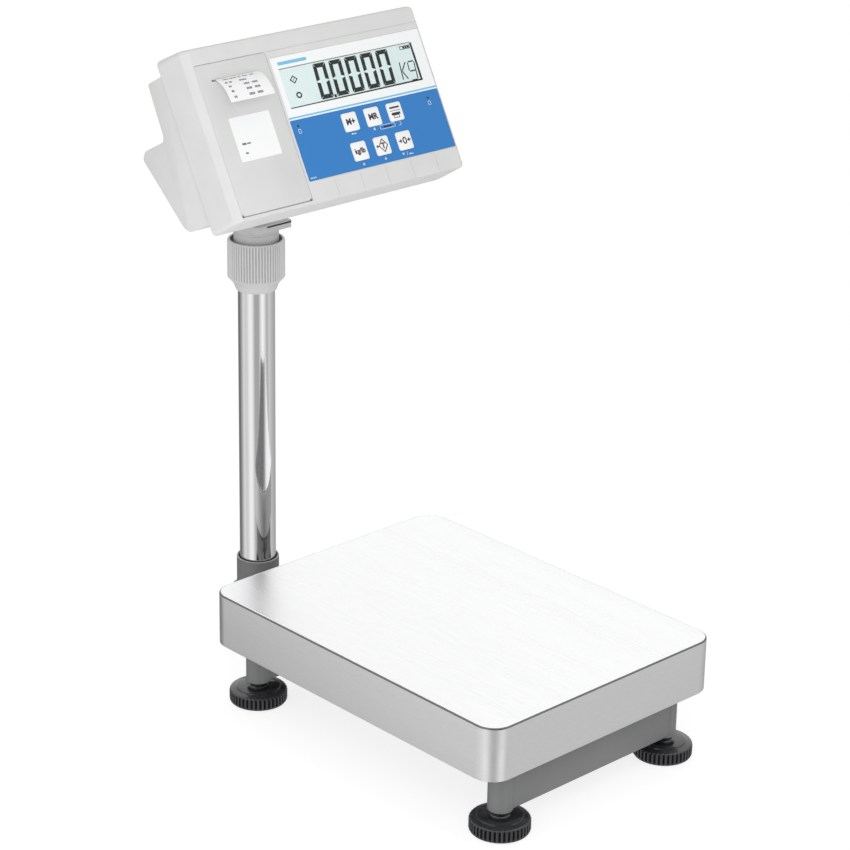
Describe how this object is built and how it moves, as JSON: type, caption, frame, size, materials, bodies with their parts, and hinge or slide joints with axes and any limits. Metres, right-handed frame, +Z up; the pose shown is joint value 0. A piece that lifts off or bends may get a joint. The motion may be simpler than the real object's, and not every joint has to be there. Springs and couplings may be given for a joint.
{
  "type": "label-printing bench scale",
  "caption": "Bench scale with a lift-off stainless tray on a steel base with screw feet, and a tilting, swivelling indicator with a built-in label printer on a chrome pillar.",
  "frame": {"origin": "on the floor at the middle of the overall box", "axes": "+X to the user's right, +Y back towards the pillar, +Z up"},
  "size_m": [0.3, 0.5372, 0.661],
  "materials": {
    "frame_paint": "semi-gloss grey powder coat",
    "stainless": "brushed stainless sheet",
    "zinc_steel": "zinc-plated steel",
    "aluminium": "machined and cast aluminium",
    "chrome": "polished chrome plate",
    "black_rubber": "matt moulded rubber",
    "foot_plastic": "moulded black plastic",
    "black_plastic": "moulded black plastic",
    "collar_grey": "dark grey moulded collar",
    "nut_grey": "light grey moulded plastic, ribbed",
    "case_grey": "light grey moulded ABS, fine texture",
    "key_white": "white embossed key",
    "overlay": "printed polyester sheet, white above and blue below",
    "lens": "clear display window",
    "display": "pale green-grey liquid crystal panel",
    "board": "green circuit board",
    "battery": "dark grey battery case",
    "paper": "white thermal label paper",
    "vial": "clear acrylic over yellow-green fluid"
  },
  "bodies": {
    "base": {"front_crossmember": "frame_paint", "rear_crossmember": "frame_paint", "base_spine": "frame_paint", "cell_spacer_lower": "zinc_steel", "load_cell": "aluminium", "cell_spacer_upper": "zinc_steel", "platform_plate": "aluminium", "platform_rail_left": "aluminium", "platform_rail_right": "aluminium", "tray_pad_front_left": "black_rubber", "tray_pad_front_right": "black_rubber", "tray_pad_rear_left": "black_rubber", "tray_pad_rear_right": "black_rubber", "stop_screw_front_left": "zinc_steel", "stop_screw_front_right": "zinc_steel", "stop_screw_rear_left": "zinc_steel", "stop_screw_rear_right": "zinc_steel", "pillar_bracket": "frame_paint", "pillar_collar": "collar_grey", "pillar_tube": "chrome", "pillar_collet": "black_plastic", "level_vial": "vial"},
    "foot_sole_front_left": {"foot_sole_front_left": "black_rubber"},
    "foot_wheel_front_left": {"foot_wheel_front_left": "foot_plastic"},
    "foot_sole_front_right": {"foot_sole_front_right": "black_rubber"},
    "foot_wheel_front_right": {"foot_wheel_front_right": "foot_plastic"},
    "foot_sole_rear_left": {"foot_sole_rear_left": "black_rubber"},
    "foot_wheel_rear_left": {"foot_wheel_rear_left": "foot_plastic"},
    "foot_sole_rear_right": {"foot_sole_rear_right": "black_rubber"},
    "foot_wheel_rear_right": {"foot_wheel_rear_right": "foot_plastic"},
    "tray": {"weighing_tray": "stainless"},
    "clamp_nut": {"clamp_nut": "nut_grey"},
    "head": {"swivel_head": "nut_grey", "tilt_bolt": "zinc_steel"},
    "indicator": {"tilt_yoke": "zinc_steel", "front_bezel": "case_grey", "rear_shell": "case_grey", "power_inlet": "black_plastic", "display_lens": "lens", "display_panel": "display", "membrane_overlay": "overlay", "key_board": "board", "main_board": "board", "battery_pack": "battery", "printer_chassis": "zinc_steel", "feed_motor": "zinc_steel", "print_head": "aluminium"},
    "key_memory_add": {"key_memory_add": "key_white"},
    "key_memory_recall": {"key_memory_recall": "key_white"},
    "key_mode_print": {"key_mode_print": "key_white"},
    "key_units": {"key_units": "key_white"},
    "key_tare": {"key_tare": "key_white"},
    "key_zero": {"key_zero": "key_white"},
    "power_rocker": {"power_rocker": "black_plastic"},
    "feed_pinion": {"feed_pinion": "black_plastic"},
    "paper_roll": {"paper_roll": "paper"},
    "printer_cover": {"printer_cover": "case_grey", "label_strip": "paper"},
    "platen": {"platen_roller": "black_rubber", "platen_gear": "black_plastic"}
  },
  "joints": [
    {"name": "foot_rise_front_left", "type": "slide", "parent": "base", "child": "foot_sole_front_left", "axis": [0, 0, -1], "range_m": [0, 0.006]},
    {"name": "foot_spin_front_left", "type": "hinge", "parent": "foot_sole_front_left", "child": "foot_wheel_front_left", "pos_m": [-0.111, -0.2395, 0.012], "axis": [0, 0, -1], "range_deg": [0, 1440]},
    {"name": "foot_rise_front_right", "type": "slide", "parent": "base", "child": "foot_sole_front_right", "axis": [0, 0, -1], "range_m": [0, 0.006]},
    {"name": "foot_spin_front_right", "type": "hinge", "parent": "foot_sole_front_right", "child": "foot_wheel_front_right", "pos_m": [0.111, -0.2395, 0.012], "axis": [0, 0, -1], "range_deg": [0, 1440]},
    {"name": "foot_rise_rear_left", "type": "slide", "parent": "base", "child": "foot_sole_rear_left", "axis": [0, 0, -1], "range_m": [0, 0.006]},
    {"name": "foot_spin_rear_left", "type": "hinge", "parent": "foot_sole_rear_left", "child": "foot_wheel_rear_left", "pos_m": [-0.111, 0.1065, 0.012], "axis": [0, 0, -1], "range_deg": [0, 1440]},
    {"name": "foot_rise_rear_right", "type": "slide", "parent": "base", "child": "foot_sole_rear_right", "axis": [0, 0, -1], "range_m": [0, 0.006]},
    {"name": "foot_spin_rear_right", "type": "hinge", "parent": "foot_sole_rear_right", "child": "foot_wheel_rear_right", "pos_m": [0.111, 0.1065, 0.012], "axis": [0, 0, -1], "range_deg": [0, 1440]},
    {"name": "tray_lift_off", "type": "slide", "parent": "base", "child": "tray", "axis": [0, 0, 1], "range_m": [0, 0.08]},
    {"name": "clamp_nut_turn", "type": "hinge", "parent": "base", "child": "clamp_nut", "pos_m": [0, 0.2392, 0.405], "axis": [0, 0, 1], "range_deg": [0, 540]},
    {"name": "head_swivel", "type": "hinge", "parent": "base", "child": "head", "pos_m": [0, 0.2392, 0.43], "axis": [0, 0, 1], "range_deg": [-170, 170]},
    {"name": "indicator_tilt", "type": "hinge", "parent": "head", "child": "indicator", "pos_m": [0, 0.2392, 0.4888], "axis": [1, 0, 0], "range_deg": [-15, 20]},
    {"name": "key_memory_add_press", "type": "slide", "parent": "indicator", "child": "key_memory_add", "axis": [0, 0.8788, -0.4772], "range_m": [0, 0.0006], "stiffness_N_per_m": 1500},
    {"name": "key_memory_recall_press", "type": "slide", "parent": "indicator", "child": "key_memory_recall", "axis": [0, 0.8788, -0.4772], "range_m": [0, 0.0006], "stiffness_N_per_m": 1500},
    {"name": "key_mode_print_press", "type": "slide", "parent": "indicator", "child": "key_mode_print", "axis": [0, 0.8788, -0.4772], "range_m": [0, 0.0006], "stiffness_N_per_m": 1500},
    {"name": "key_units_press", "type": "slide", "parent": "indicator", "child": "key_units", "axis": [0, 0.8788, -0.4772], "range_m": [0, 0.0006], "stiffness_N_per_m": 1500},
    {"name": "key_tare_press", "type": "slide", "parent": "indicator", "child": "key_tare", "axis": [0, 0.8788, -0.4772], "range_m": [0, 0.0006], "stiffness_N_per_m": 1500},
    {"name": "key_zero_press", "type": "slide", "parent": "indicator", "child": "key_zero", "axis": [0, 0.8788, -0.4772], "range_m": [0, 0.0006], "stiffness_N_per_m": 1500},
    {"name": "power_rocker_tip", "type": "hinge", "parent": "indicator", "child": "power_rocker", "pos_m": [0.097, 0.21553, 0.59493], "axis": [1, 0, 0], "range_deg": [0, 12]},
    {"name": "printer_cover_open", "type": "hinge", "parent": "indicator", "child": "printer_cover", "pos_m": [-0.0975, 0.09146, 0.51836], "axis": [1, 0, 0], "range_deg": [0, 80]},
    {"name": "platen_spin", "type": "hinge", "parent": "printer_cover", "child": "platen", "pos_m": [-0.098, 0.16049, 0.6214], "axis": [1, 0, 0], "continuous": true},
    {"name": "feed_pinion_spin", "type": "hinge", "parent": "indicator", "child": "feed_pinion", "pos_m": [-0.0665, 0.17183, 0.61525], "axis": [1, 0, 0], "continuous": true},
    {"name": "paper_roll_spin", "type": "hinge", "parent": "indicator", "child": "paper_roll", "pos_m": [-0.098, 0.15577, 0.54773], "axis": [1, 0, 0], "continuous": true}
  ],
  "couplings": [
    {"joint": "foot_rise_front_left", "follows": "foot_spin_front_left", "m_per_rad": 0.00023873},
    {"joint": "foot_rise_front_right", "follows": "foot_spin_front_right", "m_per_rad": 0.00023873},
    {"joint": "foot_rise_rear_left", "follows": "foot_spin_rear_left", "m_per_rad": 0.00023873},
    {"joint": "foot_rise_rear_right", "follows": "foot_spin_rear_right", "m_per_rad": 0.00023873},
    {"joint": "feed_pinion_spin", "follows": "platen_spin", "ratio": -1.6667}
  ]
}
